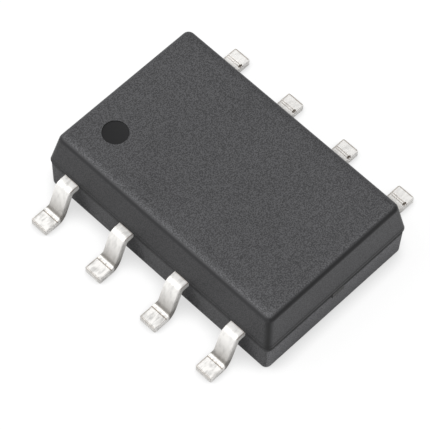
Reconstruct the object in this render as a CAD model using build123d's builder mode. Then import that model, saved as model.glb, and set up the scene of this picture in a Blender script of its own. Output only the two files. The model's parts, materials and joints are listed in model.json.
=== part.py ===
from build123d import *
import math
import os

# A memory chip in a moulded package with eight gull-wing leads, standing on its feet.
# X runs across the two rows of leads, Y along the package and Z up.
# The origin is the middle of the package on the plane that the feet stand on.
# Leads 1 to 4 are on the -X side, counted from the +Y end, and 5 to 8 come back on the +X side.
# All sizes are in millimetres and degrees.

# Package
body_length = 10.1
body_width = 6.55
upper_height = 1.4
lower_height = 1.34
standoff = 0.03
upper_draft = 9.7
lower_draft = 2.2
mould_step = 0.03
corner_radius = 0.24
top_edge_radius = 0.07
bottom_edge_chamfer = 0.05

# Round mark beside lead 1, from the widest outline of the package to its middle
mark_diameter = 0.9
mark_depth = 0.03
mark_from_side = 1.71
mark_from_end = 1.45

# Round ejector marks under the package
ejector_diameter = 1.3
ejector_depth = 0.03
ejector_spacing = 5.4

# Lead frame, which lies a little towards the lead 1 end of the package
leads_per_side = 4
lead_pitch = 2.54
frame_shift = 0.1
frame_thickness = 0.26

# Outer part of a lead
lead_width = 0.64
lead_span = 9.64
shoulder_length = 0.24
leg_angle = 19.0
shoulder_bend_radius = 0.09
heel_bend_radius = 0.22
toe_corner_radius = 0.13
groove_from_toe = 0.5
groove_width = 0.05
groove_depth = 0.03
nick_diameter = 0.12
nick_depth = 0.13

# Inner part of a lead, which the plastic holds
finger_width = 1.0
finger_cover = 0.35
finger_gap = 0.3
anchor_hole_diameter = 0.42
anchor_hole_cover = 0.9
arm_width = 0.7
arm_from_centre = 0.55

# Paddle and its two tie bars
paddle_width = 2.4
paddle_length = 3.2
paddle_corner_radius = 0.2
paddle_drop = 0.22
tie_bar_width = 0.54
tie_bar_slope = 35.0
tie_bar_bend_gap = 0.25

# Die and the adhesive under it
die_width = 1.3
die_length = 1.7
die_height = 0.25
attach_height = 0.03
attach_margin = 0.08
attach_corner_radius = 0.15

# Bond wires, finer than a hair, with flats in place of their round section
wire_diameter = 0.03
wire_flats = 8
loop_height = 0.2
loop_reach = 0.35
loop_rise_radius = 0.08
loop_fall_radius = 0.3
landing_from_tip = 0.16
ball_diameter = 0.09
ball_height = 0.025
stitch_length = 0.12
stitch_width = 0.07
stitch_height = 0.02
pad_from_edge = 0.12
end_pad_from_centre = 0.36
side_pad_from_centre = 0.3

# Places and levels that follow from the sizes above
parting_level = standoff + lower_height
top_level = parting_level + upper_height
frame_top = parting_level
frame_bottom = frame_top - frame_thickness
paddle_top = frame_top - paddle_drop
paddle_bottom = paddle_top - frame_thickness
die_bottom = paddle_top + attach_height
die_top = die_bottom + die_height
wire_radius = wire_diameter / 2
half_row = lead_pitch * (leads_per_side - 1) / 2
finger_tip = paddle_width / 2 + finger_gap
arm_tip = paddle_length / 2 + finger_gap
lead_count = 2 * leads_per_side

os.makedirs("parts", exist_ok=True)


def frame_plane(row, level):
    """Return the lead frame's plane at a level, turned half a turn for the second row."""
    across = Vector(1, 0, 0) if row == 0 else Vector(-1, 0, 0)
    return Plane(origin=(0, frame_shift, level), x_dir=across, z_dir=(0, 0, 1))


def place_in_row(number):
    """Return a lead's row, its place along the row and whether it is at a corner."""
    row, step = divmod(number - 1, leads_per_side)
    return row, half_row - lead_pitch * step, step in (0, leads_per_side - 1)


def finger_outline(along, is_corner):
    """Return the corners of a lead's inner finger, with an arm on the corner leads."""
    outer_x = -(body_width / 2 - finger_cover)
    near_y = along - math.copysign(finger_width / 2, along)
    far_y = along + math.copysign(finger_width / 2, along)
    if not is_corner:
        return [(outer_x, near_y), (-finger_tip, near_y), (-finger_tip, far_y), (outer_x, far_y)]
    tip_y = math.copysign(arm_tip, along)
    arm_x = -(arm_from_centre + arm_width)
    return [
        (outer_x, near_y),
        (arm_x, near_y),
        (arm_x, tip_y),
        (-arm_from_centre, tip_y),
        (-arm_from_centre, far_y),
        (outer_x, far_y),
    ]


def make_lead(number):
    """Make one lead: inner finger, shoulder, leg, and a foot with its groove and nick."""
    row, along, is_corner = place_in_row(number)
    sheet_plane = frame_plane(row, frame_bottom)
    foot_plane = frame_plane(row, frame_thickness)
    side_plane = Plane(
        origin=frame_plane(row, 0).from_local_coords((0, along, 0)),
        x_dir=sheet_plane.x_dir,
        z_dir=-sheet_plane.y_dir,
    )
    mitre = frame_thickness * math.tan(math.radians((90 - leg_angle) / 2))
    shoulder_x = -(body_width / 2 + shoulder_length)
    heel_x = shoulder_x - frame_bottom * math.tan(math.radians(leg_angle))
    toe_x = -lead_span / 2
    groove_x = toe_x + groove_from_toe
    root_x = -(body_width / 2 - finger_cover)
    with BuildPart() as lead:
        with BuildSketch(side_plane):
            with BuildLine():
                FilletPolyline(
                    (root_x, frame_bottom),
                    (shoulder_x, frame_bottom),
                    (heel_x, 0),
                    (toe_x, 0),
                    (toe_x, frame_thickness),
                    (heel_x - mitre, frame_thickness),
                    (shoulder_x - mitre, frame_top),
                    (root_x, frame_top),
                    radius=[
                        0,
                        shoulder_bend_radius,
                        heel_bend_radius + frame_thickness,
                        0,
                        0,
                        heel_bend_radius,
                        shoulder_bend_radius + frame_thickness,
                        0,
                    ],
                    close=True,
                )
            make_face()
        extrude(amount=lead_width / 2, both=True)
        toe_edges = lead.edges().filter_by(Axis.Z).group_by(Axis.X)[0 if row == 0 else -1]
        fillet(toe_edges, radius=toe_corner_radius)
        with BuildSketch(sheet_plane):
            with BuildLine():
                Polyline(*finger_outline(along, is_corner), close=True)
            make_face()
            with Locations((-(body_width / 2 - anchor_hole_cover), along)):
                Circle(anchor_hole_diameter / 2, mode=Mode.SUBTRACT)
        extrude(amount=frame_thickness)
        with BuildSketch(foot_plane):
            with Locations((groove_x, along)):
                Rectangle(groove_width, lead_width)
        extrude(amount=-groove_depth, mode=Mode.SUBTRACT)
        with BuildSketch(foot_plane):
            with Locations((groove_x, along + lead_width / 2)):
                Circle(nick_diameter / 2)
        extrude(amount=-nick_depth, mode=Mode.SUBTRACT)
    return lead


def make_paddle():
    """Make the paddle, stamped lower than the leads, with a tie bar to each short side."""
    slope = math.radians(tie_bar_slope)
    mitre = frame_thickness * math.tan(slope / 2)
    low_bend = paddle_length / 2 + tie_bar_bend_gap
    high_bend = low_bend + paddle_drop / math.tan(slope)
    inner_end = paddle_length / 2 - paddle_corner_radius
    with BuildPart() as paddle:
        with BuildSketch(frame_plane(0, paddle_bottom)):
            RectangleRounded(paddle_width, paddle_length, paddle_corner_radius)
        extrude(amount=frame_thickness)
        for end in (1, -1):
            cut_end = body_length / 2 - end * frame_shift
            with BuildSketch(Plane(origin=(0, frame_shift, 0), x_dir=(0, end, 0), z_dir=(end, 0, 0))):
                with BuildLine():
                    Polyline(
                        (inner_end, paddle_bottom),
                        (low_bend, paddle_bottom),
                        (high_bend, frame_bottom),
                        (cut_end, frame_bottom),
                        (cut_end, frame_top),
                        (high_bend - mitre, frame_top),
                        (low_bend - mitre, paddle_top),
                        (inner_end, paddle_top),
                        close=True,
                    )
                make_face()
            extrude(amount=tie_bar_width / 2, both=True)
    return paddle


def make_die_attach():
    """Make the layer of adhesive, which spreads a little past the die."""
    with BuildPart() as attach:
        with BuildSketch(frame_plane(0, paddle_top)):
            RectangleRounded(
                die_width + 2 * attach_margin,
                die_length + 2 * attach_margin,
                attach_corner_radius,
            )
        extrude(amount=attach_height)
    return attach


def make_die():
    """Make the sawn silicon die."""
    with BuildPart() as die:
        with BuildSketch(frame_plane(0, die_bottom)):
            Rectangle(die_width, die_length)
        extrude(amount=die_height)
    return die


def wire_ends(along, is_corner):
    """Return the places of a wire's ball on the die and of its stitch on the finger."""
    side = math.copysign(1, along)
    if is_corner:
        ball = Vector(-end_pad_from_centre, side * (die_length / 2 - pad_from_edge))
        stitch = Vector(-(arm_from_centre + arm_width / 2), side * (arm_tip + landing_from_tip))
    else:
        ball = Vector(-(die_width / 2 - pad_from_edge), side * side_pad_from_centre)
        stitch = Vector(-(finger_tip + landing_from_tip), along)
    return ball, stitch


def make_bond_wire(number):
    """Make one gold wire: ball on the die, loop, and stitch on the lead's finger."""
    row, along, is_corner = place_in_row(number)
    ball, stitch = wire_ends(along, is_corner)
    pad_plane = frame_plane(row, die_top)
    finger_plane = frame_plane(row, frame_top)
    start = pad_plane.from_local_coords((ball.X, ball.Y, 0))
    finish = pad_plane.from_local_coords((stitch.X, stitch.Y, 0))
    heading = (finish - start).normalized()
    reach = (finish - start).length
    wire_level = frame_top - die_top + wire_radius
    loop_plane = Plane(origin=start, x_dir=heading, z_dir=heading.cross(Vector(0, 0, 1)))
    stitch_middle = Plane(
        origin=finger_plane.from_local_coords((stitch.X, stitch.Y, 0)),
        x_dir=heading,
        z_dir=(0, 0, 1),
    )
    with BuildPart() as wire:
        with BuildLine(loop_plane) as loop:
            FilletPolyline(
                (0, ball_height / 2),
                (0, loop_height),
                (reach * loop_reach, loop_height),
                (reach - stitch_length, wire_level),
                (reach, wire_level),
                radius=[loop_rise_radius, loop_fall_radius, 0],
            )
        with BuildSketch(Plane(origin=loop.line @ 0, z_dir=loop.line % 0)):
            RegularPolygon(wire_radius, wire_flats)
        sweep()
        with BuildSketch(Plane(origin=start, z_dir=(0, 0, 1))):
            RegularPolygon(ball_diameter / 2, wire_flats)
        extrude(amount=ball_height)
        with BuildSketch(stitch_middle):
            with Locations((-stitch_length / 2, 0)):
                Rectangle(stitch_length, stitch_width)
        extrude(amount=stitch_height)
    return wire


def is_corner_edge(edge):
    """Tell whether an edge runs up a corner of the package."""
    return abs((edge % 0.5).Z) > 0.5


def make_lower_half():
    """Make the package below its parting line, smaller all round by the step of the mould."""
    with BuildPart() as lower_half:
        with BuildSketch(Plane.XY.offset(parting_level)):
            Rectangle(body_width - 2 * mould_step, body_length - 2 * mould_step)
        extrude(amount=-lower_height, taper=lower_draft)
        fillet(lower_half.edges().filter_by(is_corner_edge), radius=corner_radius - mould_step)
        chamfer(lower_half.faces().sort_by(Axis.Z)[0].edges(), length=bottom_edge_chamfer)
        with BuildSketch(Plane.XY.offset(standoff)):
            with GridLocations(0, ejector_spacing, 1, 2):
                Circle(ejector_diameter / 2)
        extrude(amount=ejector_depth, mode=Mode.SUBTRACT)
    return lower_half


def make_package(lower_half, contents):
    """Mould the package around the lead frame, the die and the wires."""
    with BuildPart() as package:
        with BuildSketch(Plane.XY.offset(parting_level)):
            Rectangle(body_width, body_length)
        extrude(amount=upper_height, taper=upper_draft)
        fillet(package.edges().filter_by(is_corner_edge), radius=corner_radius)
        fillet(package.faces().sort_by(Axis.Z)[-1].edges(), radius=top_edge_radius)
        with BuildSketch(Plane.XY.offset(top_level)):
            with Locations((mark_from_side - body_width / 2, body_length / 2 - mark_from_end)):
                Circle(mark_diameter / 2)
        extrude(amount=-mark_depth, mode=Mode.SUBTRACT)
        add(lower_half.part)
        for piece in contents:
            add(piece.part, mode=Mode.SUBTRACT)
    return package


# Lead frame, made of the paddle and the leads
die_paddle = make_paddle()
die_paddle.part.label = "die_paddle"
export_step(die_paddle.part, "parts/die_paddle.step")

leads = []
for number in range(1, lead_count + 1):
    lead = make_lead(number)
    lead.part.label = f"lead_{number}"
    export_step(lead.part, f"parts/lead_{number}.step")
    leads.append(lead)

# Die on its layer of adhesive
die_attach = make_die_attach()
die_attach.part.label = "die_attach"
export_step(die_attach.part, "parts/die_attach.step")

memory_die = make_die()
memory_die.part.label = "memory_die"
export_step(memory_die.part, "parts/memory_die.step")

# Wires from the die to the leads
bond_wires = []
for number in range(1, lead_count + 1):
    bond_wire = make_bond_wire(number)
    bond_wire.part.label = f"bond_wire_{number}"
    export_step(bond_wire.part, f"parts/bond_wire_{number}.step")
    bond_wires.append(bond_wire)

# Plastic around all of them
contents = [die_paddle, die_attach, memory_die, *leads, *bond_wires]
package_body = make_package(make_lower_half(), contents)
package_body.part.label = "package_body"
export_step(package_body.part, "parts/package_body.step")

for piece in [package_body, *contents]:
    print(f"{piece.part.label}: {piece.part.volume:.5f} cubic millimetres")
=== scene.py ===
import json
import logging
import math
from collections.abc import Callable, Sequence
from dataclasses import dataclass
from enum import Enum

import bmesh
import bpy
from mathutils import Matrix, Vector


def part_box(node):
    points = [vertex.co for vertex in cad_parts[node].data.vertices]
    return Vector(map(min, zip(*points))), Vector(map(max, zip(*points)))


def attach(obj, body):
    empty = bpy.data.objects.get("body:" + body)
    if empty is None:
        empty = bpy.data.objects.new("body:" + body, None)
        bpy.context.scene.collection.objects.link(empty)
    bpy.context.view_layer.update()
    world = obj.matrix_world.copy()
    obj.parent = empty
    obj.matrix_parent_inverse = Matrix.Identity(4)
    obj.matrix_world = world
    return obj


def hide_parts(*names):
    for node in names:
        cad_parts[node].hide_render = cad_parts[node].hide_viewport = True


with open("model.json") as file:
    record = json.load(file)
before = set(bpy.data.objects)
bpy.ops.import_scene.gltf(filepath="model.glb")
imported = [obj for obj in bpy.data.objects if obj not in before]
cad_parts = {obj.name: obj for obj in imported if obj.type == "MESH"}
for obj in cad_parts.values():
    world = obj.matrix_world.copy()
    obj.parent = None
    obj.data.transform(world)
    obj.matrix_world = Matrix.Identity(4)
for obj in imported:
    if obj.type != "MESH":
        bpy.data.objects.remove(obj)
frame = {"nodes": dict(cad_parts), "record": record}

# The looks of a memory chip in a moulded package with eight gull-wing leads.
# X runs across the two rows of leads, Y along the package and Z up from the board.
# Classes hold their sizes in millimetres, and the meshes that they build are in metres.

log = logging.getLogger("memory_chip")

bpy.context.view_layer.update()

MM = 0.001
LEADS_PER_ROW = 4
LEAD_COUNT = 2 * LEADS_PER_ROW

# After a cut, points nearer than the first are welded. Places nearer than the second count as level.
WELD_MM = 0.0002
SMALL_MM = 0.0001

# Two edges that turn less than this, in radians, count as one straight edge
STRAIGHT = 0.01

# How many finer layers the noise of the grain and of the mottling has
GRAIN_DETAIL = 1.0
MOTTLE_DETAIL = 1.5

# Where speckle starts and is full, how much larger the coarse grain is, and where mottling starts
SPECKLE_ENDS = (0.36, 0.64)
COARSE_RATIO = 3.1
MOTTLE_START = 0.3

Colour = tuple[float, float, float]
Pair = tuple[float, float]


class Row(Enum):
    """The two rows of leads, each with the side of the package that it is on."""

    FIRST = -1
    SECOND = 1


class Zone(Enum):
    """How the mould left a part of the package's surface: its share of the full texture; and its tone,
    which is painted light and shade.
    """

    TOP = (1.0, 1.0)
    LONG_SIDE = (0.8, 0.65)
    END_SIDE = (0.6, 1.32)
    UPPER_CORNER = (0.0, 0.15)
    LOWER_LONG_SIDE = (1.0, 0.88)
    LOWER_END_SIDE = (1.0, 1.8)
    UNDERSIDE = (1.0, 0.9)
    MARK = (0.0, 0.3)


def clamp(value: float) -> float:
    """Return a number held between 0 and 1."""
    return min(1.0, max(0.0, value))


def quarter(steps: int, first: int = 0) -> list[float]:
    """Return the angles, in radians, of the steps of a quarter turn."""
    return [math.pi / 2 * step / steps for step in range(first, steps + 1)]


def arc_inset(radius: float, from_end: float) -> float:
    """Return how far a rounded corner draws a side in.

    Args:
        radius: The corner's radius.
        from_end: How far the place is from the end of the side.

    Returns:
        The distance, 0 beyond the corner.
    """
    if from_end >= radius:
        return 0.0
    return radius - math.sqrt(radius ** 2 - (radius - from_end) ** 2)


class NodeGraph:
    """A node tree with short calls that add nodes and join them."""

    def __init__(self, tree: bpy.types.NodeTree) -> None:
        """Wrap a tree."""
        self.tree = tree

    def add(self, kind: str, inputs: dict | None = None, **settings: object) -> bpy.types.Node:
        """Add a node, set it up and join its inputs.

        Args:
            kind: The node's type, without the leading ShaderNode.
            inputs: Input names or numbers, each with a plain value or with an output to join.
            settings: Properties of the node itself.

        Returns:
            The new node.
        """
        node = self.tree.nodes.new("ShaderNode" + kind)
        for name, value in settings.items():
            setattr(node, name, value)
        for name, value in (inputs or {}).items():
            if isinstance(value, bpy.types.NodeSocket):
                self.join(value, node, name)
            else:
                node.inputs[name].default_value = value
        return node

    def join(self, output: bpy.types.NodeSocket, node: bpy.types.Node, name: str | int) -> None:
        """Join an output to a node's input."""
        self.tree.links.new(output, node.inputs[name])

    def attribute(self, name: str) -> bpy.types.NodeSocket:
        """Return the values that a mesh attribute holds."""
        return self.add("Attribute", attribute_name=name).outputs["Fac"]

    def place(self) -> bpy.types.NodeSocket:
        """Return the place on the piece's own coordinates."""
        return self.add("TexCoord").outputs["Object"]

    def math(self, operation: str, first: object, second: object = 0.0) -> bpy.types.NodeSocket:
        """Return one number worked out from two, each of them plain or an output."""
        return self.add("Math", {0: first, 1: second}, operation=operation).outputs[0]

    def noise(self, place: object, scale: object, detail: float) -> bpy.types.NodeSocket:
        """Return plain noise.

        Args:
            place: The output with the place.
            scale: How many times a metre it changes.
            detail: How many finer layers it has.

        Returns:
            The output with the noise.
        """
        return self.add("TexNoise", {"Vector": place, "Scale": scale, "Detail": detail}).outputs["Fac"]

    def remap(
        self, value: object, ends: tuple, low: object = 0.0, high: object = 1.0, smooth: bool = False
    ) -> bpy.types.NodeSocket:
        """Map a number from one range to another and hold it at the ends.

        Args:
            value: The number.
            ends: The range that it comes from.
            low: The result at the range's start.
            high: The result at the range's end.
            smooth: True to ease it in and out.

        Returns:
            The output with the result.
        """
        kind = "SMOOTHSTEP" if smooth else "LINEAR"
        inputs = {"Value": value, 1: ends[0], 2: ends[1], 3: low, 4: high}
        return self.add("MapRange", inputs, interpolation_type=kind).outputs[0]

    def blend(self, factor: object, low: object, high: object) -> bpy.types.NodeSocket:
        """Return a number between the one for a factor of 0 and the one for 1."""
        return self.add("Mix", {0: factor, 2: low, 3: high}).outputs[0]

    def blend_colour(self, factor: object, low: object, high: object) -> bpy.types.NodeSocket:
        """Return a colour between the one for a factor of 0 and the one for 1."""
        return self.add("Mix", {0: factor, 6: low, 7: high}, data_type="RGBA").outputs[2]

    def scale_colour(self, colour: object, value: object) -> bpy.types.NodeSocket:
        """Return a colour multiplied by a number that changes over the surface."""
        inputs = {0: 1.0, 6: colour, 7: value}
        return self.add("Mix", inputs, data_type="RGBA", blend_type="MULTIPLY").outputs[2]


def shared_group(
    name: str,
    inputs: dict[str, float],
    outputs: Sequence[str],
    fill: Callable[[NodeGraph, bpy.types.Node], dict[str, bpy.types.NodeSocket]],
) -> bpy.types.ShaderNodeTree:
    """Make a node group once and hand out the same one after that.

    Args:
        name: The group's name.
        inputs: Names of its inputs with their usual values.
        outputs: Names of its outputs, all plain numbers.
        fill: Builds the inside and gives the output to join for each name.

    Returns:
        The node group.
    """
    if name in bpy.data.node_groups:
        return bpy.data.node_groups[name]
    tree = bpy.data.node_groups.new(name, "ShaderNodeTree")
    for label, value in inputs.items():
        socket = tree.interface.new_socket(label, in_out="INPUT", socket_type="NodeSocketFloat")
        socket.default_value = value
    for label in outputs:
        tree.interface.new_socket(label, in_out="OUTPUT", socket_type="NodeSocketFloat")
    graph = NodeGraph(tree)
    results = fill(graph, tree.nodes.new("NodeGroupInput"))
    leave = tree.nodes.new("NodeGroupOutput")
    for label, output in results.items():
        graph.join(output, leave, label)
    return tree


def fill_grain(graph: NodeGraph, entry: bpy.types.Node) -> dict[str, bpy.types.NodeSocket]:
    """Build the fine grain: two sizes of noise on the piece's own coordinates.

    Args:
        graph: The group's tree.
        entry: The group's input node.

    Returns:
        The outputs Height and Speckle.
    """
    place = graph.place()
    scale = graph.math("DIVIDE", 1 / MM, entry.outputs["Size"])
    fine = graph.noise(place, scale, GRAIN_DETAIL)
    coarse = graph.noise(place, graph.math("DIVIDE", scale, COARSE_RATIO), GRAIN_DETAIL)
    mixed = graph.blend(entry.outputs["Coarse Share"], fine, coarse)
    return {"Height": mixed, "Speckle": graph.remap(mixed, SPECKLE_ENDS, smooth=True)}


def grain_group() -> bpy.types.ShaderNodeTree:
    """Return the grain group. Its size is in millimetres."""
    inputs = {"Size": 0.05, "Coarse Share": 0.1}
    return shared_group("Fine grain", inputs, ("Height", "Speckle"), fill_grain)


def fill_mottle(graph: NodeGraph, entry: bpy.types.Node) -> dict[str, bpy.types.NodeSocket]:
    """Build the soft mottling: slow changes between a low and a high value.

    Args:
        graph: The group's tree.
        entry: The group's input node.

    Returns:
        The output Value.
    """
    given = entry.outputs
    stretch = graph.add("CombineXYZ", {0: 1.0, 1: given["Stretch"], 2: 1.0}).outputs[0]
    stretched = graph.add("VectorMath", {0: graph.place(), 1: stretch}, operation="MULTIPLY").outputs[0]
    noise = graph.noise(stretched, graph.math("DIVIDE", 1 / MM, given["Size"]), MOTTLE_DETAIL)
    return {"Value": graph.remap(noise, (MOTTLE_START, given["Even From"]), given["Low"], given["High"])}


def mottle_group() -> bpy.types.ShaderNodeTree:
    """Return the mottling group. Its size is in millimetres."""
    inputs = {"Size": 1.0, "Stretch": 1.0, "Low": 0.9, "High": 1.1, "Even From": 0.7}
    return shared_group("Soft mottling", inputs, ("Value",), fill_mottle)


@dataclass(frozen=True)
class Finish:
    """What every finish has: its name, grain and mottling, and a way to make its material once."""

    name: str
    grain_size: float = 0.03
    grain_depth: float = 0.001
    mottle_size: float = 0.5
    mottle_span: Pair = (0.85, 1.1)
    mottle_stretch: float = 1.0
    mottle_even_from: float = 0.7

    def material(self) -> bpy.types.Material:
        """Make the finish's material at the first call and hand out the same one after that.

        Returns:
            The material.
        """
        if self.name in bpy.data.materials:
            return bpy.data.materials[self.name]
        made = bpy.data.materials.new(self.name)
        made.use_nodes = True
        self.dress(NodeGraph(made.node_tree), made.node_tree.nodes["Principled BSDF"])
        return made

    def dress(self, graph: NodeGraph, surface: bpy.types.Node) -> None:
        """Add the finish's nodes.

        Args:
            graph: The material's tree.
            surface: Its Principled BSDF node.
        """
        raise NotImplementedError

    def grain(self, graph: NodeGraph) -> bpy.types.Node:
        """Return the finish's fine grain."""
        return graph.add("Group", {"Size": self.grain_size}, node_tree=grain_group())

    def mottle(self, graph: NodeGraph) -> bpy.types.NodeSocket:
        """Add the finish's soft mottling.

        Args:
            graph: The material's tree.

        Returns:
            The output with its value.
        """
        low, high = self.mottle_span
        inputs = {
            "Size": self.mottle_size,
            "Stretch": self.mottle_stretch,
            "Low": low,
            "High": high,
            "Even From": self.mottle_even_from,
        }
        return graph.add("Group", inputs, node_tree=mottle_group()).outputs["Value"]

    def emboss(self, graph: NodeGraph, surface: bpy.types.Node, height: bpy.types.NodeSocket) -> None:
        """Raise the grain on the surface.

        Args:
            graph: The material's tree.
            surface: Its Principled BSDF node.
            height: The grain's height.
        """
        bump = graph.add("Bump", {"Height": height, "Distance": self.grain_depth * MM, "Strength": 1.0})
        graph.join(bump.outputs[0], surface, "Normal")


@dataclass(frozen=True)
class EpoxyFinish(Finish):
    """Black moulding compound: grain where the mould was roughened by erosion, smooth at corners and in the
    mark; the grain's lighter colour is partly a painted sheen.
    """

    grain_size: float = 0.04
    grain_depth: float = 0.006
    mottle_size: float = 2.5
    mottle_span: Pair = (0.955, 1.045)
    speckle: Pair = (0.6, 1.4)
    # The grain's colour is partly its own and partly a painted sheen of the rough surface
    eroded_with_sheen: Colour = (0.0675, 0.0675, 0.0705)
    smooth: Colour = (0.04, 0.04, 0.042)
    eroded_roughness: float = 0.62
    smooth_roughness: float = 0.42
    gloss: float = 0.2

    def dress(self, graph: NodeGraph, surface: bpy.types.Node) -> None:
        """Add the finish's nodes.

        Args:
            graph: The material's tree.
            surface: Its Principled BSDF node.
        """
        surface.inputs["Specular IOR Level"].default_value = self.gloss
        texture = graph.attribute("mould_texture")
        grain = self.grain(graph)
        # The grain's lighter colour includes a painted sheen
        base = graph.blend_colour(texture, (*self.smooth, 1), (*self.eroded_with_sheen, 1))
        speckle = graph.blend(texture, 1.0, graph.blend(grain.outputs["Speckle"], *self.speckle))
        shade = graph.math("MULTIPLY", speckle, self.mottle(graph))
        # The tone attribute carries the painted light and shade of each zone
        shade = graph.math("MULTIPLY", shade, graph.attribute("painted_light_tone"))
        graph.join(graph.scale_colour(base, shade), surface, "Base Color")
        graph.join(graph.blend(texture, self.smooth_roughness, self.eroded_roughness), surface, "Roughness")
        self.emboss(graph, surface, graph.math("MULTIPLY", grain.outputs["Height"], texture))


@dataclass(frozen=True)
class TinFinish(Finish):
    """Satin tin plating with streaks and sheared edges, with painted shade in the grooves and the nick and
    along the rims, and painted dark reflection and shade in the heel, on the leg, the toe's end and the far
    feet.
    """

    grain_size: float = 0.035
    grain_depth: float = 0.0012
    mottle_size: float = 0.3
    mottle_span: Pair = (0.62, 1.01)
    mottle_stretch: float = 2.6
    mottle_even_from: float = 0.56
    plated: Colour = (0.95, 0.935, 0.91)
    sheared: Colour = (0.92, 0.905, 0.88)
    # Painted shade in the nick and the grooves, and painted dark reflection along the rims
    painted_shade: Colour = (0.2, 0.148, 0.1)
    # The formed colour is painted dark reflection in the heel and on the toe's end, and painted shade on
    # the leg and the far feet
    formed: Colour = (0.22, 0.207, 0.19)
    calm_at: float = 0.05
    calm_share: float = 0.4
    metallic: float = 0.22
    plated_roughness: float = 0.42
    sheared_roughness: float = 0.5
    roughness_span: Pair = (0.9, 1.1)

    def dress(self, graph: NodeGraph, surface: bpy.types.Node) -> None:
        """Add the finish's nodes.

        Args:
            graph: The material's tree.
            surface: Its Principled BSDF node.
        """
        surface.inputs["Metallic"].default_value = self.metallic
        sheared = graph.attribute("sheared")
        formed = graph.attribute("formed")
        grain = self.grain(graph)
        mottle = self.mottle(graph)
        colour = graph.blend_colour(sheared, (*self.plated, 1), (*self.sheared, 1))
        # The formed attribute holds painted dark reflection in the heel and on the toe's end, and painted
        # shade on the leg and the far feet
        colour = graph.blend_colour(formed, colour, (*self.formed, 1))
        # Painted shade in the nick and the grooves, and painted dark reflection along the rims
        colour = graph.blend_colour(graph.attribute("painted_shade"), colour, (*self.painted_shade, 1))
        evened = graph.math("MINIMUM", graph.math("MULTIPLY", formed, 1 / self.calm_at), 1.0)
        streaks = graph.blend(evened, mottle, graph.blend(self.calm_share, 1.0, mottle))
        graph.join(graph.scale_colour(colour, streaks), surface, "Base Color")
        rough = graph.blend(sheared, self.plated_roughness, self.sheared_roughness)
        spread = graph.blend(grain.outputs["Speckle"], *self.roughness_span)
        graph.join(graph.math("MULTIPLY", rough, spread), surface, "Roughness")
        self.emboss(graph, surface, grain.outputs["Height"])


@dataclass(frozen=True)
class PlainFinish(Finish):
    """A finish of one colour with grain and mottling, for the pieces inside the package."""

    colour: Colour = (0.5, 0.5, 0.5)
    metallic: float = 0.0
    roughness: float = 0.4
    roughness_span: Pair = (0.8, 1.2)

    def base(self, graph: NodeGraph) -> object:
        """Return the colour before the mottling."""
        return (*self.colour, 1)

    def dress(self, graph: NodeGraph, surface: bpy.types.Node) -> None:
        """Add the finish's nodes.

        Args:
            graph: The material's tree.
            surface: Its Principled BSDF node.
        """
        surface.inputs["Metallic"].default_value = self.metallic
        grain = self.grain(graph)
        graph.join(graph.scale_colour(self.base(graph), self.mottle(graph)), surface, "Base Color")
        low, high = (self.roughness * share for share in self.roughness_span)
        graph.join(graph.blend(grain.outputs["Speckle"], low, high), surface, "Roughness")
        self.emboss(graph, surface, grain.outputs["Height"])


@dataclass(frozen=True)
class FrameFinish(PlainFinish):
    """The lead frame's alloy, which is dull and dark where the tie bars were cut off."""

    cut_end: Colour = (0.035, 0.034, 0.033)
    cut_starts: float = 4.94
    cut_full: float = 5.01

    def base(self, graph: NodeGraph) -> object:
        """Blend the alloy's colour into that of the cut ends.

        Args:
            graph: The material's tree.

        Returns:
            The output with the colour.
        """
        along = graph.add("SeparateXYZ", {0: graph.place()}).outputs["Y"]
        share = graph.remap(graph.math("ABSOLUTE", along), (self.cut_starts * MM, self.cut_full * MM))
        return graph.blend_colour(share, (*self.colour, 1), (*self.cut_end, 1))


EPOXY = EpoxyFinish("moulded epoxy")
TIN = TinFinish("tin plating")
FRAME_ALLOY = FrameFinish("lead frame alloy", colour=(0.6, 0.4, 0.3), metallic=0.4, roughness=0.5)
ADHESIVE = PlainFinish("silver-filled adhesive", colour=(0.55, 0.55, 0.53), metallic=0.4, roughness=0.6)
SILICON = PlainFinish("silicon", colour=(0.2, 0.21, 0.26), metallic=0.5, roughness=0.2, mottle_size=0.2)
GOLD = PlainFinish("gold wire", colour=(0.95, 0.72, 0.32), metallic=1.0, roughness=0.25)


def mesh_object(name: str, mesh: bpy.types.Mesh) -> bpy.types.Object:
    """Put a mesh in the scene.

    Args:
        name: The object's name.
        mesh: Its mesh.

    Returns:
        The new object.
    """
    made = bpy.data.objects.new(name, mesh)
    bpy.context.scene.collection.objects.link(made)
    return made


def mesh_from_loops(name: str, loops: Sequence[Sequence[Vector]]) -> bpy.types.Mesh:
    """Skin a closed solid over rings of points, with a flat cap at each end.

    Args:
        name: The mesh's name.
        loops: Rings with the same number of points each, in millimetres.

    Returns:
        The mesh, in metres.
    """
    work = bmesh.new()
    rings = [[work.verts.new(point * MM) for point in loop] for loop in loops]
    count = len(rings[0])
    for lower, upper in zip(rings, rings[1:]):
        for i in range(count):
            j = (i + 1) % count
            work.faces.new((lower[i], lower[j], upper[j], upper[i]))
    work.faces.new(list(reversed(rings[0])))
    work.faces.new(rings[-1])
    bmesh.ops.recalc_face_normals(work, faces=work.faces)
    mesh = bpy.data.meshes.new(name)
    work.to_mesh(mesh)
    work.free()
    return mesh


def lathe(name: str, profile: Sequence[Pair], centre: Pair, steps: int) -> bpy.types.Mesh:
    """Turn a profile about an upright axis into a closed solid.

    Args:
        name: The mesh's name.
        profile: Radius and height of each point, in millimetres, from one end to the other.
        centre: The axis.
        steps: The number of flats round it.

    Returns:
        The mesh, in metres.
    """
    loops = []
    for radius, height in profile:
        ring = []
        for i in range(steps):
            angle = 2 * math.pi * i / steps
            x, y = centre[0] + radius * math.cos(angle), centre[1] + radius * math.sin(angle)
            ring.append(Vector((x, y, height)))
        loops.append(ring)
    return mesh_from_loops(name, loops)


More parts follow.
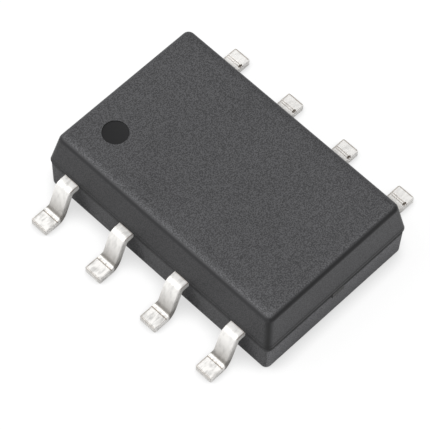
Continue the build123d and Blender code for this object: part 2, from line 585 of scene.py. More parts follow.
def combine(piece: bpy.types.Object, tool: bpy.types.Mesh, operation: str) -> None:
    """Cut a tool out of a piece or join it on, and keep the result as the piece's mesh.

    Args:
        piece: The piece.
        tool: A closed mesh, used up here.
        operation: DIFFERENCE or UNION.
    """
    helper = mesh_object("tool", tool)
    modifier = piece.modifiers.new("tool", "BOOLEAN")
    modifier.operation = operation
    modifier.solver = "EXACT"
    modifier.object = helper
    graph = bpy.context.evaluated_depsgraph_get()
    made = bpy.data.meshes.new_from_object(piece.evaluated_get(graph))
    piece.modifiers.clear()
    work = bmesh.new()
    work.from_mesh(made)
    bmesh.ops.remove_doubles(work, verts=work.verts, dist=WELD_MM * MM)
    bmesh.ops.dissolve_degenerate(work, edges=work.edges, dist=WELD_MM * MM)
    # A vertex on a straight edge with no third edge would leave a fold of no width when faces are split
    passed = [vert for vert in work.verts if len(vert.link_edges) == 2]
    passed = [vert for vert in passed if vert.calc_edge_angle(1) < STRAIGHT]
    bmesh.ops.dissolve_verts(work, verts=passed)
    work.to_mesh(made)
    work.free()
    old = piece.data
    piece.data = made
    bpy.data.meshes.remove(old)
    bpy.data.objects.remove(helper)
    bpy.data.meshes.remove(tool)


def dress_piece(piece: bpy.types.Object, finish: Finish, sharp_degrees: float) -> None:
    """Give a piece its material, and shade it smoothly with flat faces kept flat.

    Args:
        piece: The piece.
        finish: Its finish.
        sharp_degrees: Edges that turn more than this stay sharp.
    """
    piece.data.materials.clear()
    piece.data.materials.append(finish.material())
    piece.data.shade_smooth()
    piece.data.set_sharp_from_angle(angle=math.radians(sharp_degrees))
    modifier = piece.modifiers.new("weighted normals", "WEIGHTED_NORMAL")
    modifier.keep_sharp = True
    modifier.weight = 100


@dataclass
class MouldedPackage:
    """The plastic package: drafted upper and lower halves with a step where the mould parts."""

    node: str
    upper_draft: float = 9.7
    lower_draft: float = 1.3
    mould_step: float = 0.03
    corner_radius: float = 0.24
    least_radius: float = 0.02
    top_edge_radius: float = 0.19
    bottom_edge_radius: float = 0.035
    parting_edge_radius: float = 0.012
    mark_radius: float = 0.45
    mark_depth: float = 0.03
    mark_from_side: float = 1.71
    mark_from_end: float = 1.45
    ejector_radius: float = 0.65
    ejector_depth: float = 0.03
    ejector_spacing: float = 5.4
    recess_edge: float = 0.01
    edge_band: float = 0.2
    # Painted highlight and shade on the top along its rim, one gain for each side
    rim_light_gains: tuple[float, ...] = (0.45, 0.08, -0.15, 0.0)
    # Painted tones of the rounded top edge for each side, and the turns where they start and end
    fillet_painted_tones: tuple[float, ...] = (0.75, 0.5, 1.3, 1.3)
    fillet_turns: tuple[float, ...] = (8.0, 36.0, 60.0)
    # Heights from the parting, each with the tone of the painted shadow under the lip and of the painted
    # shade lines above it
    parting_shade_lines: tuple[Pair, ...] = (
        (-0.22, 1.0), (-0.15, 0.15), (0.0, 0.05), (0.04, 0.05), (0.06, 0.8), (0.1, 0.8), (0.12, 0.45),
        (0.17, 0.5), (0.22, 0.92), (0.7, 1.0),
    )
    # How much of the painted parting shade the long sides keep
    faint_parting_shade: float = 0.35
    level_normal: float = 0.999
    under_normal: float = -0.9
    corner_reach: float = 1.4
    corner_power: float = 1.2
    lower_rings: tuple[float, ...] = (0.1, 0.4, 0.7)
    upper_rings: tuple[float, ...] = (0.35, 0.65, 0.92)
    corner_steps: int = 10
    long_steps: int = 72
    short_steps: int = 48
    round_steps: int = 96
    bottom_steps: int = 6
    edge_steps: int = 4
    top_steps: int = 12
    sharp_degrees: float = 50.0

    def __post_init__(self) -> None:
        """Take the package's place and the parting level from the frame."""
        low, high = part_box(self.node)
        self.low = low / MM
        self.high = high / MM
        self.half = (self.high - self.low) / 2
        self.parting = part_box("lead_2")[1].z / MM
        self.mark_centre = (self.low.x + self.mark_from_side, self.high.y - self.mark_from_end)

    def ring(self, outward: float, radius: float, level: float) -> list[Vector]:
        """Return one rounded rectangle round the package.

        Args:
            outward: How far its sides lie outside the parting outline, less than 0 if inside.
            radius: Its corner radius.
            level: Its height.

        Returns:
            The points, in millimetres.
        """
        half_x = self.half.x + outward - radius
        half_y = self.half.y + outward - radius
        signs = ((1, 1), (-1, 1), (-1, -1), (1, -1))
        centres = [Vector((sign_x * half_x, sign_y * half_y, level)) for sign_x, sign_y in signs]
        points = []
        for number, centre in enumerate(centres):
            for step in range(self.corner_steps + 1):
                angle = math.pi / 2 * (number + step / self.corner_steps)
                spoke = radius * Vector((math.cos(angle), math.sin(angle), 0))
                points.append(centre + spoke)
            start = points[-1]
            finish = centres[(number + 1) % len(centres)] + spoke
            steps = self.short_steps if number % 2 == 0 else self.long_steps
            points += [start.lerp(finish, step / steps) for step in range(1, steps)]
        return points

    def section(self) -> list[tuple[float, float, float]]:
        """Return the package's section from the bottom up.

        Returns:
            For each ring, how far out it lies, its level and how much of the corner radius it loses.
        """
        down = math.tan(math.radians(self.lower_draft))
        foot = -self.mould_step - (self.parting - self.low.z) * down
        radius = self.bottom_edge_radius
        rows = [(foot - radius - self.least_radius, self.low.z, radius)]
        for angle in quarter(self.bottom_steps):
            lost = radius * (1 - math.sin(angle))
            rows.append((foot - lost, self.low.z + radius * (1 - math.cos(angle)), lost))
        straight = self.parting - self.low.z - radius
        levels = [self.low.z + radius + share * straight for share in self.lower_rings]
        levels += [self.parting + mark for mark, _ in self.parting_shade_lines if mark <= 0]
        rows += [(foot + (level - self.low.z) * down, level, 0.0) for level in sorted(levels)]
        lip = self.parting_edge_radius
        for angle in quarter(self.edge_steps):
            rows.append((-lip * (1 - math.sin(angle)), self.parting + lip * (1 - math.cos(angle)), 0.0))
        draft = math.radians(self.upper_draft)
        radius = self.top_edge_radius
        centre_level = self.high.z - radius
        centre_out = -(centre_level - self.parting) * math.tan(draft) - radius / math.cos(draft)
        straight = centre_level + radius * math.sin(draft) - self.parting
        levels = [self.parting + mark for mark, _ in self.parting_shade_lines if mark > lip]
        levels += [self.parting + share * straight for share in self.upper_rings]
        rows += [(-(level - self.parting) * math.tan(draft), level, 0.0) for level in sorted(levels)]
        for step in range(self.top_steps + 1):
            angle = draft + (math.pi / 2 - draft) * step / self.top_steps
            level = centre_level + radius * math.sin(angle)
            outward = centre_out + radius * math.cos(angle)
            rows.append((outward, level, -(level - self.parting) * math.tan(draft) - outward))
        # Two rings on the flat top carry the rim's painted highlight and shade inwards
        rows += [(centre_out - self.edge_band / part, self.high.z, radius) for part in (3, 1)]
        return rows

    def recess(self, centre: Pair, radius: float, level: float, depth: float) -> bpy.types.Mesh:
        """Return the tool for a round recess with softened edges.

        Args:
            centre: Its axis.
            radius: Its radius.
            level: The height of the face that it goes into.
            depth: How deep it goes, less than 0 when it goes up from below.

        Returns:
            The mesh of the tool.
        """
        edge = self.recess_edge
        core = 2 * edge
        way = math.copysign(1, depth)
        floor = level - depth
        profile = [(core, floor), (radius - edge, floor)]
        for angle in quarter(self.edge_steps, 1):
            rise = way * edge * (1 - math.cos(angle))
            profile.append((radius - edge * (1 - math.sin(angle)), floor + rise))
        for angle in quarter(self.edge_steps):
            drop = way * edge * (1 - math.sin(angle))
            profile.append((radius + edge * (1 - math.cos(angle)), level - drop))
        profile += [(radius + edge, level + way * edge), (core, level + way * edge)]
        return lathe("recess", profile, centre, self.round_steps)

    def zone_texture_and_painted_light(self, mesh: bpy.types.Mesh) -> None:
        """Say at each corner of each face how much texture it has, and how light it is, which is painted
        light and shade.

        Args:
            mesh: The finished mesh.
        """
        texture = mesh.attributes.new("mould_texture", "FLOAT", "CORNER")
        tone = mesh.attributes.new("painted_light_tone", "FLOAT", "CORNER")
        for face in mesh.polygons:
            for corner in face.loop_indices:
                place = mesh.vertices[mesh.loops[corner].vertex_index].co / MM
                texture.data[corner].value, tone.data[corner].value = self.zone(face, place)

    def zone(self, face: bpy.types.MeshPolygon, place: Vector) -> Pair:
        """Return the texture and the tone of painted light and shade at one corner of a face.

        Args:
            face: The face.
            place: The corner's place, in millimetres.

        Returns:
            The share of the full texture, and the tone of painted light and shade.
        """
        centre = face.center / MM
        normal = face.normal
        if normal.z < self.under_normal:
            return Zone.UNDERSIDE.value
        mark_floor = self.high.z - self.mark_depth
        if self.in_mark(centre) and mark_floor - SMALL_MM < centre.z < self.high.z - SMALL_MM:
            return Zone.MARK.value
        if normal.z > self.level_normal:
            return Zone.TOP.value[0], self.rim_painted_light(place)
        is_end = abs(normal.y) > abs(normal.x)
        if centre.z < self.parting:
            side = Zone.LOWER_END_SIDE.value if is_end else Zone.LOWER_LONG_SIDE.value
        else:
            side = Zone.END_SIDE.value if is_end else Zone.LONG_SIDE.value
            # Upright corners blend towards the corner zone's painted dark band
            corner = clamp(self.corner_reach * min(abs(normal.x), abs(normal.y))) ** self.corner_power
            side = self.between(side, Zone.UPPER_CORNER.value, corner)
        # Round the top edge the painted light goes from the rim's over the fillet's own painted tone to the
        # side's
        turned = math.degrees(math.acos(clamp((place.z - self.high.z) / self.top_edge_radius + 1)))
        flat, dark, dim = self.fillet_turns
        upright = 90 - self.upper_draft
        fillet = (0.0, self.fillet_painted_tones[self.side_number(normal)])
        if turned < dark:
            rim = (Zone.TOP.value[0], self.rim_painted_light(place))
            return self.between(rim, fillet, clamp((turned - flat) / (dark - flat)))
        if turned < upright:
            return self.between(fillet, side, clamp((turned - dim) / (upright - dim)))
        return side[0], side[1] * self.parting_painted_shade(place.z - self.parting, is_end)

    @staticmethod
    def side_number(normal: Vector) -> int:
        """Return which side a face looks to.

        Args:
            normal: The face's normal.

        Returns:
            0 for the first row's side, 1 for the lead 4 end, 2 for the second row's, 3 for the lead 1 end.
        """
        if abs(normal.x) > abs(normal.y):
            return 0 if normal.x < 0 else 2
        return 1 if normal.y < 0 else 3

    def rim_painted_light(self, place: Vector) -> float:
        """Return the painted highlight and shade on the top near its rim, which differs from side to side.

        Args:
            place: The place, in millimetres.

        Returns:
            The tone, 1 away from the rim.
        """
        radius = self.top_edge_radius
        draft = math.radians(self.upper_draft)
        inset = (self.high.z - radius - self.parting) * math.tan(draft) + radius / math.cos(draft)
        distances = (
            self.half.x + place.x, self.half.y + place.y, self.half.x - place.x, self.half.y - place.y,
        )
        tone = 1.0
        for distance, gain in zip(distances, self.rim_light_gains):
            tone += gain * clamp((inset + self.edge_band - distance) / self.edge_band)
        return tone

    def parting_painted_shade(self, level: float, is_end: bool) -> float:
        """Return the painted shadow under the lip where the mould parts, and the painted shade lines just
        above it.

        Args:
            level: Height above the parting.
            is_end: True on the short sides, where the lines are stronger.

        Returns:
            The tone, 1 away from the lines.
        """
        marks = self.parting_shade_lines
        if not marks[0][0] < level < marks[-1][0]:
            return 1.0
        for (low, first), (high, second) in zip(marks, marks[1:]):
            if level <= high:
                tone = first + (second - first) * (level - low) / (high - low)
                return tone if is_end else self.faint_parting_shade + (1 - self.faint_parting_shade) * tone
        return 1.0

    @staticmethod
    def between(first: Pair, second: Pair, share: float) -> Pair:
        """Return a blend of two pairs of texture and tone, the first at 0 and the second at 1."""
        texture, tone = (a + (b - a) * share for a, b in zip(first, second))
        return texture, tone

    def in_mark(self, place: Vector) -> bool:
        """Tell whether a place, in millimetres, is inside the round mark's rim."""
        return (place.xy - Vector(self.mark_centre)).length < self.mark_radius + 2 * self.recess_edge

    def build(self) -> bpy.types.Object:
        """Build the package in place of its plain node.

        Returns:
            The finished piece.
        """
        loops = []
        for outward, level, lost in self.section():
            below = level < self.parting - SMALL_MM
            radius = self.corner_radius - lost - (self.mould_step if below else 0)
            loops.append(self.ring(outward, max(radius, self.least_radius), level))
        piece = mesh_object("package_shell", mesh_from_loops("package_shell", loops))
        mark = self.recess(self.mark_centre, self.mark_radius, self.high.z, self.mark_depth)
        combine(piece, mark, "DIFFERENCE")
        for side in (1, -1):
            centre = (0.0, side * self.ejector_spacing / 2)
            tool = self.recess(centre, self.ejector_radius, self.low.z, -self.ejector_depth)
            combine(piece, tool, "DIFFERENCE")
        self.zone_texture_and_painted_light(piece.data)
        dress_piece(piece, EPOXY, self.sharp_degrees)
        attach(piece, "root")
        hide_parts(self.node)
        return piece


@dataclass
class GullWingLead:
    """One formed lead: finger in the plastic, shoulder, leg and foot with its grooves."""

    number: int
    width: float = 0.62
    foot_width: float = 0.7
    thickness: float = 0.26
    shoulder_length: float = 0.24
    leg_angle: float = 19.0
    shoulder_bend_radius: float = 0.09
    heel_bend_radius: float = 0.22
    toe_corner_radius: float = 0.055
    punch_edge: float = 0.04
    burr_edge: float = 0.014
    toe_edge: float = 0.03
    flat_starts: float = 1.4
    first_row_grooves: tuple[float, ...] = (0.54,)
    second_row_grooves: tuple[float, ...] = (0.458, 0.378)
    groove_width: float = 0.058
    groove_depth: float = 0.014
    nick_from_toe: float = 0.42
    nick_length: float = 0.18
    nick_width: float = 0.045
    nick_depth: float = 0.09
    nick_from_edge: float = 0.075
    nick_taper: float = 0.8
    nick_bevel: float = 0.02
    nick_reach: float = 1.05
    nick_below_top: float = 0.002
    finger_width: float = 1.0
    finger_cover: float = 0.35
    anchor_hole_radius: float = 0.21
    anchor_hole_cover: float = 0.9
    arm_width: float = 0.7
    arm_from_centre: float = 0.55
    cutter_overlap: float = 0.1

    # Painted shade and painted dark reflection on the plating, each from 0 for none to 1, and where they
    # and the sheared faces lie
    nick_shade: float = 0.65
    groove_shade: Pair = (0.75, 0.5)
    groove_shade_from: float = 0.2
    first_row_rim_shade: tuple[float, float, float] = (0.5, 0.35, 0.1)
    second_row_rim_shade: tuple[float, float, float] = (0.5, 0.6, 0.05)
    shoulder_rim_shade: tuple[float, float, float] = (0.2, 0.4, 0.65)
    exit_shade_band: float = 0.03
    rim_width: float = 0.05
    foot_length: float = 0.56
    heel_shade_from_toe: tuple[Pair, Pair] = ((0.64, 0.69), (0.5, 0.53))
    heel_shade_height: float = 0.62
    heel_shade_share: Pair = (1.0, 0.35)
    heel_shade_fade: float = 0.5
    leg_painted_shade: float = 0.13
    shoulder_painted_shade: float = 0.03
    foot_painted_shade: Pair = (0.0, 0.08)
    shoulder_starts: float = 0.08
    toe_end_shade: float = 0.5
    sheared_turn: Pair = (0.25, 0.65)
    groove_looks_up: float = 0.3
    rim_looks_up: float = 0.1
    shade_looks_up: float = -0.1
    toe_looks_out: float = 0.5

    bend_step: float = 4.5
    edge_steps: int = 4
    groove_steps: int = 4
    toe_corner_steps: int = 8
    toe_edge_steps: int = 5
    nick_steps: int = 28
    hole_steps: int = 40
    sharp_degrees: float = 40.0

    def __post_init__(self) -> None:
        """Take the lead's place from the frame."""
        low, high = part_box(f"lead_{self.number}")
        self.row = Row.FIRST if self.number <= LEADS_PER_ROW else Row.SECOND
        self.row_index = 0 if self.row is Row.FIRST else 1
        self.toe = max(abs(low.x), abs(high.x)) / MM
        self.top = high.z / MM
        self.half_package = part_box("package_body")[1].x / MM
        feet = {mount["name"]: mount["pos_m"] for mount in frame["record"]["mounts"]}
        self.along = feet[f"foot_{self.number}"][1] / MM
        self.is_corner = self.number in (1, LEADS_PER_ROW, LEADS_PER_ROW + 1, LEAD_COUNT)
        from_toe = (self.first_row_grooves, self.second_row_grooves)[self.row_index]
        self.grooves = [self.toe - distance for distance in from_toe]

    def place(self, outward: float, across: float, level: float) -> Vector:
        """Return a point of the lead in the row's frame.

        Args:
            outward: Distance from the package's middle plane.
            across: Distance from the lead's own middle, towards its first side.
            level: Height.

        Returns:
            The point, in millimetres.
        """
        side = self.row.value
        return Vector((side * outward, self.along - side * across, level))

    def path(self) -> list[tuple[float, float, float, float]]:
        """Return the middle line of the strip from inside the package to the toe.

        Returns:
            For each station, distance outward, height, slope in radians with 0 level, and width.
        """
        half = self.thickness / 2
        turn = math.radians(90 - self.leg_angle)
        lean = math.tan(math.radians(self.leg_angle))
        shift = half * math.tan(turn / 2)
        shoulder = Vector((self.half_package + self.shoulder_length + shift, self.top - half))
        drop = self.top - self.thickness
        heel = Vector((self.half_package + self.shoulder_length + drop * lean + shift, half))
        rings = (-self.finger_cover, 0.0, self.exit_shade_band)
        stations = [(self.half_package + ring, self.top - half, 0.0, self.width) for ring in rings]
        for corner, radius, start, sign, width in (
            (shoulder, self.shoulder_bend_radius + half, 0.0, 1, self.width),
            (heel, self.heel_bend_radius + half, turn, -1, self.foot_width),
        ):
            tangent = radius * math.tan(turn / 2)
            begin = corner - tangent * Vector((math.cos(start), -math.sin(start)))
            centre = begin + radius * sign * Vector((-math.sin(start), -math.cos(start)))
            steps = math.ceil(math.degrees(turn) / self.bend_step)
            for step in range(steps + 1):
                slope = start + sign * turn * step / steps
                out = centre + radius * sign * Vector((math.sin(slope), math.cos(slope)))
                spread = (width - self.width) * (0.5 - 0.5 * math.cos(math.pi * step / steps))
                stations.append((out.x, out.y, slope, self.width + spread))
        foot = self.foot_stations(stations[-1][0])
        return stations + [(outward, half, 0.0, self.foot_width) for outward in foot]

    def foot_stations(self, heel_end: float) -> list[float]:
        """Return where the flat foot has its rings.

        Args:
            heel_end: Where the heel's bend ends.

        Returns:
            Distances outward, the last of them at the toe.
        """
        places = []
        half = self.groove_width / 2
        steps = self.groove_steps
        for groove in self.grooves:
            places += [groove + half * step / steps for step in range(-steps - 1, steps + 2)]
        for radius, angles in (
            (self.toe_corner_radius, quarter(self.toe_corner_steps)),
            (self.toe_edge, quarter(self.toe_edge_steps, 1)[:-1]),
        ):
            places += [self.toe - radius * (1 - math.sin(angle)) for angle in angles]
        return sorted(place for place in places if place > heel_end + SMALL_MM)

    def dent(self, outward: float) -> float:
        """Return how deep the grooves are at a place on the foot.

        Args:
            outward: Distance from the package's middle plane.

        Returns:
            The depth, 0 away from the grooves.
        """
        away = min(abs(outward - groove) for groove in self.grooves) / (self.groove_width / 2)
        return self.groove_depth * (0.5 + 0.5 * math.cos(math.pi * away)) if away < 1 else 0.0

    def ring(self, outward: float, level: float, slope: float, width: float) -> list[Vector]:
        """Return the strip's outline at one station.

        Args:
            outward: The station's distance outward.
            level: Its height.
            slope: The strip's slope there.
            width: The strip's width there.

        Returns:
            The points, in millimetres.
        """
        from_toe = max(self.toe - outward, 0.0)
        rim = arc_inset(self.toe_edge, from_toe)
        half_width = width / 2 - arc_inset(self.toe_corner_radius, from_toe) - rim
        half_thick = self.thickness / 2 - rim
        dent = self.dent(outward) if slope == 0.0 else 0.0
        points = []
        for side, face, edge in (
            (1, 1, self.punch_edge),
            (-1, 1, self.punch_edge),
            (-1, -1, self.burr_edge),
            (1, -1, self.burr_edge),
        ):
            corner = [(half_width, half_thick - edge * self.flat_starts)]
            for angle in quarter(self.edge_steps):
                across = half_width - edge * (1 - math.cos(angle))
                corner.append((across, half_thick - edge * (1 - math.sin(angle))))
            corner.append((half_width - edge * self.flat_starts, half_thick))
            if side != face:
                corner.reverse()
            sunk = dent if face > 0 else 0.0
            points += [(side * across, face * up - sunk) for across, up in corner]
        normal = Vector((math.sin(slope), math.cos(slope)))
        return [self.place(outward + up * normal.x, across, level + up * normal.y) for across, up in points]

    def finger(self) -> bpy.types.Mesh:
        """Return the inner finger, which the plastic holds, with an arm on the corner leads.

        Returns:
            The mesh of the finger.
        """
        from_middle = self.along - self.frame_middle()
        toward = -self.row.value * math.copysign(1, from_middle)
        outer = self.half_package - self.finger_cover
        near = -toward * self.finger_width / 2
        far = toward * self.finger_width / 2
        if self.is_corner:
            end = -toward * (abs(from_middle) - self.arm_tip())
            arm = self.arm_from_centre + self.arm_width
            inner = self.arm_from_centre
            outline = [(outer, near), (arm, near), (arm, end), (inner, end), (inner, far), (outer, far)]
        else:
            tip = self.inner_tip()
            outline = [(outer, near), (tip, near), (tip, far), (outer, far)]
        levels = (self.top - self.thickness, self.top)
        loops = [[self.place(outward, across, level) for outward, across in outline] for level in levels]
        return mesh_from_loops("finger", loops)

    def frame_middle(self) -> float:
        """Return where the middle of the lead frame is along the package."""
        low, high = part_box("memory_die")
        return (low.y + high.y) / 2 / MM

    def inner_tip(self) -> float:
        """Return how far from the middle plane the fingers beside the paddle end."""
        low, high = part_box("lead_2")
        return min(abs(low.x), abs(high.x)) / MM

    def arm_tip(self) -> float:
        """Return how far from the frame's middle the arms of the corner leads end."""
        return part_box("lead_1")[0].y / MM - self.frame_middle()

    def mark_plating_and_shade(self, mesh: bpy.types.Mesh) -> None:
        """Say at each corner of each face how sheared the plating is, and how much painted shade and
        painted dark reflection it carries.

        Args:
            mesh: The finished mesh.
        """
        sheared = mesh.attributes.new("sheared", "FLOAT", "CORNER")
        painted_shade = mesh.attributes.new("painted_shade", "FLOAT", "CORNER")
        formed = mesh.attributes.new("formed", "FLOAT", "CORNER")
        start, full = self.sheared_turn
        for face in mesh.polygons:
            normal = face.normal
            end = abs(normal.x) if abs(face.center.x) / MM > self.toe - self.toe_edge else 0.0
            share = clamp((max(abs(normal.y), end) - start) / (full - start))
            # The toe's end gets painted shade
            end_shade = self.toe_end_shade if end > self.toe_looks_out else 0.0
            # Painted shade in the nick and the grooves, and painted dark reflection along the rims
            painted_shade_share = self.painted_shade_share(face)
            for corner in face.loop_indices:
                place = mesh.vertices[mesh.loops[corner].vertex_index].co / MM
                sheared.data[corner].value = share
                painted_shade.data[corner].value = painted_shade_share
                # The formed attribute holds painted dark reflection and painted shade
                if normal.z > self.shade_looks_up:
                    formed.data[corner].value = max(self.painted_lead_shade(place), end_shade)

    def painted_shade_share(self, face: bpy.types.MeshPolygon) -> float:
        """Return how much painted shade a face carries: in the nick, in the grooves or on the rims.

        Args:
            face: The face.

        Returns:
            The share, 0 on a face without painted shade.
        """
        centre = face.center / MM
        if self.in_nick(centre):
            return self.nick_shade
        is_dented = self.dent(abs(centre.x)) > self.groove_shade_from * self.groove_depth
        if is_dented and face.normal.z > self.groove_looks_up:
            return self.groove_shade[self.row_index]
        return self.rim(centre) if face.normal.z > self.rim_looks_up else 0.0

    def rim(self, place: Vector) -> float:
        """Return the painted shade and dark reflection along the rims of the foot and the shoulder at a
        place.

        Args:
            place: The place, in millimetres.

        Returns:
            The share, 0 away from the rims.
        """
        from_toe = self.toe - abs(place.x)
        if from_toe > self.foot_length:
            if place.z < self.top - self.thickness / 4:
                return 0.0
            left, end, right = self.shoulder_rim_shade
            if self.width / 2 - abs(place.y - self.along) < self.punch_edge / 2:
                return left if place.y > self.along else right
            return end if abs(place.x) < self.half_package + self.exit_shade_band else 0.0
        left, toe, right = (self.first_row_rim_shade, self.second_row_rim_shade)[self.row_index]
        if self.foot_width / 2 - abs(place.y - self.along) < self.rim_width:
            return left if place.y > self.along else right
        return toe if from_toe < self.rim_width else 0.0

    def painted_lead_shade(self, place: Vector) -> float:
        """Return the painted dark reflection and shade on the plating: most inside the heel, less above it.

        Args:
            place: The place, in millimetres.

        Returns:
            The share, 0 where nothing is painted.
        """
        start, full = self.heel_shade_from_toe[self.row_index]
        rise = clamp((self.toe - abs(place.x) - start) / (full - start))
        fade = clamp((self.heel_shade_height - place.z) / (self.heel_shade_fade * self.heel_shade_height))
        leg = self.leg_painted_shade if place.z < self.top - self.shoulder_starts else self.shoulder_painted_shade
        foot = self.foot_painted_shade[self.row_index]
        return max(foot, rise * max(leg, fade * self.heel_shade_share[self.row_index]))

    def nick_place(self) -> Vector:
        """Return the middle of the nick that the tool left in the foot's edge."""
        across = self.foot_width / 2 - self.nick_from_edge
        return self.place(self.toe - self.nick_from_toe, across, 0)

    def in_nick(self, place: Vector) -> bool:
        """Tell whether a place lies on the nick's own faces.

        Args:
            place: The place, in millimetres.

        Returns:
            True on its wall and floor.
        """
        if self.row is Row.FIRST:
            return False
        offset = place - self.nick_place()
        spread = (offset.x / (self.nick_length / 2)) ** 2 + (offset.y / self.nick_width) ** 2
        low = self.thickness - self.nick_depth - SMALL_MM
        return spread < self.nick_reach and low < place.z < self.thickness - self.nick_below_top

    def nick_tool(self) -> bpy.types.Mesh:
        """Return the cutter for the nick, a narrow oval that goes down from the top.

        Returns:
            The mesh of the cutter.
        """
        floor = self.thickness - self.nick_depth
        top = self.thickness + self.cutter_overlap / 2
        profile = [(self.nick_taper, floor), (1.0, floor + self.nick_bevel), (1.0, top)]
        mesh = lathe("nick", profile, (0.0, 0.0), self.nick_steps)
        middle = self.nick_place() * MM
        shape = Matrix.Diagonal((self.nick_length / 2, self.nick_width, 1.0, 1.0))
        mesh.transform(Matrix.Translation((middle.x, middle.y, 0)) @ shape)
        return mesh

    def build(self) -> bpy.types.Object:
        """Build the lead in place of its plain node.

        Returns:
            The finished piece.
        """
        name = f"lead_{self.number}_formed"
        piece = mesh_object(name, mesh_from_loops(name, [self.ring(*station) for station in self.path()]))
        combine(piece, self.finger(), "UNION")
        hole = self.place(self.half_package - self.anchor_hole_cover, 0, 0)
        ends = (self.top - self.thickness - self.cutter_overlap, self.top + self.cutter_overlap)
        profile = [(self.anchor_hole_radius, end) for end in ends]
        combine(piece, lathe("anchor hole", profile, (hole.x, hole.y), self.hole_steps), "DIFFERENCE")
        if self.row is Row.SECOND:
            combine(piece, self.nick_tool(), "DIFFERENCE")
        self.mark_plating_and_shade(piece.data)
        dress_piece(piece, TIN, self.sharp_degrees)
        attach(piece, "root")
        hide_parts(f"lead_{self.number}")
        return piece


@dataclass(frozen=True)
class SealedParts:
    """What the plastic hides: paddle, adhesive, die and wires, which keep their shapes."""

    wire_count: int = LEAD_COUNT

    def dress(self) -> int:
        """Give each hidden piece its material.

        Returns:
            How many pieces were dressed.
        """
        plates = {"die_paddle": FRAME_ALLOY, "die_attach": ADHESIVE, "memory_die": SILICON}
        wires = {f"bond_wire_{number}": GOLD for number in range(1, self.wire_count + 1)}
        finishes = {**plates, **wires}
        for name, finish in finishes.items():
            data = frame["nodes"][name].data
            data.materials.clear()
            data.materials.append(finish.material())
        return len(finishes)


@dataclass(frozen=True)
class PhotoCamera:
    """The camera of the photograph, from the outlines of the package and the leads."""

    azimuth: float = -48.059
    elevation: float = 59.852
    roll: float = 3.051
    image_px: float = 430.0
    focal_px: float = 3016.0
    origin_x_px: float = 225.43
    origin_y_px: float = 214.09
    px_per_mm: float = 30.17
    sensor_mm: float = 36.0
    clip_m: Pair = (0.01, 10.0)

    def build(self) -> bpy.types.Object:
        """Place the camera and make it the scene's.

        Returns:
            The camera.
        """
        turn, rise, roll = (math.radians(angle) for angle in (self.azimuth, self.elevation, self.roll))
        toward = Vector((math.sin(turn) * math.cos(rise), -math.cos(turn) * math.cos(rise), math.sin(rise)))
        level = Vector((math.cos(turn), math.sin(turn), 0))
        upright = toward.cross(level)
        right = math.cos(roll) * level + math.sin(roll) * upright
        up = -math.sin(roll) * level + math.cos(roll) * upright
        distance = self.focal_px / self.px_per_mm
        shift_x = (self.origin_x_px - self.image_px / 2) / self.px_per_mm
        shift_y = (self.image_px / 2 - self.origin_y_px) / self.px_per_mm
        data = bpy.data.cameras.new("photo camera")
        data.sensor_width = self.sensor_mm
        data.lens = self.focal_px * self.sensor_mm / self.image_px
        data.clip_start, data.clip_end = self.clip_m
        camera = bpy.data.objects.new("photo camera", data)
        bpy.context.scene.collection.objects.link(camera)
        place = (distance * toward - shift_x * right - shift_y * up) * MM
        turned = Matrix((right, up, toward)).transposed().to_4x4()
        camera.matrix_world = Matrix.Translation(place) @ turned
        bpy.context.scene.camera = camera
        return camera


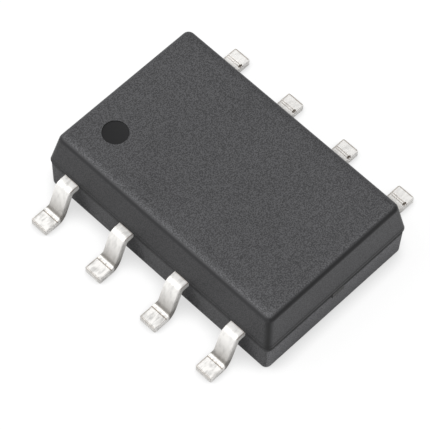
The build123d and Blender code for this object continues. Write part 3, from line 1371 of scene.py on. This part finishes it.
@dataclass(frozen=True)
class Studio:
    """A pale floor, a soft sky and one broad lamp from behind the lead 1 end."""

    floor_radius: float = 1500.0
    floor_thickness: float = 1.0
    floor_core: float = 0.001
    floor_steps: int = 64
    floor_tone: float = 0.8
    lamp_from: tuple[float, float, float] = (-0.45, 0.45, 0.85)
    lamp_strength: float = 1.3
    lamp_angle: float = 30.0
    sky_brightest: tuple[float, float, float] = (-0.15, 0.35, 0.92)
    sky_ends: Pair = (0.68, 0.97)
    sky_low: float = 0.65
    sky_top: float = 1.2
    white_strength: float = 1.02
    shown_shadow: float = 0.1
    contact_reach: float = 0.8
    contact_ends: Pair = (0.4, 0.85)
    contact_shade: float = 0.68
    contact_samples: int = 16

    def build(self) -> None:
        """Build the floor, the sky and the lamp."""
        self.build_floor()
        self.build_sky()
        self.build_lamp()

    def build_floor(self) -> None:
        """Build the floor, white to the camera and in reflections but for the shadows."""
        low, core, rim = -self.floor_thickness, self.floor_core, self.floor_radius
        profile = [(core, low), (rim, low), (rim, 0.0), (core, 0.0)]
        floor = mesh_object("floor", lathe("floor", profile, (0.0, 0.0), self.floor_steps))
        made = bpy.data.materials.new("pale floor")
        made.use_nodes = True
        made.node_tree.nodes.clear()
        graph = NodeGraph(made.node_tree)
        tone = self.floor_tone
        lit = graph.add("BsdfDiffuse", {"Color": (tone, tone, tone, 1)}).outputs[0]
        white = graph.add("BsdfDiffuse", {"Color": (1, 1, 1, 1)}).outputs[0]
        reach = {"Distance": self.contact_reach * MM}
        openness = graph.add("AmbientOcclusion", reach, samples=self.contact_samples).outputs["AO"]
        contact = graph.remap(openness, self.contact_ends, self.contact_shade)
        strength = graph.math("MULTIPLY", contact, self.white_strength)
        glow = graph.add("Emission", {"Color": (1, 1, 1, 1), "Strength": strength}).outputs[0]
        rays = graph.add("LightPath").outputs
        share = graph.blend(rays["Is Camera Ray"], 1.0, self.shown_shadow)
        shown = graph.add("MixShader", {0: share, 1: glow, 2: white}).outputs[0]
        seen = graph.math("MAXIMUM", rays["Is Camera Ray"], rays["Is Glossy Ray"])
        seen = graph.math("MAXIMUM", seen, rays["Is Transmission Ray"])
        mixed = graph.add("MixShader", {0: seen, 1: lit, 2: shown}).outputs[0]
        graph.add("OutputMaterial", {"Surface": mixed}, is_active_output=True)
        floor.data.materials.append(made)

    def build_sky(self) -> None:
        """Build the sky: a broad pale patch overhead that fades to grey towards the horizon."""
        world = bpy.data.worlds.new("soft sky")
        world.use_nodes = True
        world.node_tree.nodes.clear()
        graph = NodeGraph(world.node_tree)
        ways = {0: graph.add("TexCoord").outputs["Generated"], 1: Vector(self.sky_brightest).normalized()}
        nearness = graph.add("VectorMath", ways, operation="DOT_PRODUCT").outputs["Value"]
        strength = graph.remap(nearness, self.sky_ends, self.sky_low, self.sky_top, smooth=True)
        sky = graph.add("Background", {"Color": (1, 1, 1, 1), "Strength": strength}).outputs[0]
        graph.add("OutputWorld", {"Surface": sky})
        bpy.context.scene.world = world

    def build_lamp(self) -> None:
        """Build the broad lamp."""
        data = bpy.data.lights.new("broad lamp", "SUN")
        data.energy = self.lamp_strength
        data.angle = math.radians(self.lamp_angle)
        lamp = bpy.data.objects.new("broad lamp", data)
        bpy.context.scene.collection.objects.link(lamp)
        lamp.rotation_mode = "QUATERNION"
        lamp.rotation_quaternion = Vector(self.lamp_from).to_track_quat("Z", "Y")


def main() -> None:
    """Build the package, the leads, the hidden parts, the camera and the studio in order."""
    logging.basicConfig(level=logging.INFO, format="%(name)s: %(message)s")
    bpy.context.scene.view_settings.view_transform = "Standard"
    package = MouldedPackage("package_body").build()
    log.info("package built with %d faces", len(package.data.polygons))
    for number in range(1, LEAD_COUNT + 1):
        lead = GullWingLead(number).build()
        log.info("lead %d built with %d faces", number, len(lead.data.polygons))
    log.info("%d hidden pieces dressed", SealedParts().dress())
    PhotoCamera().build()
    Studio().build()
    log.info("camera, floor, sky and lamp placed")


if __name__ == "__main__":
    main()
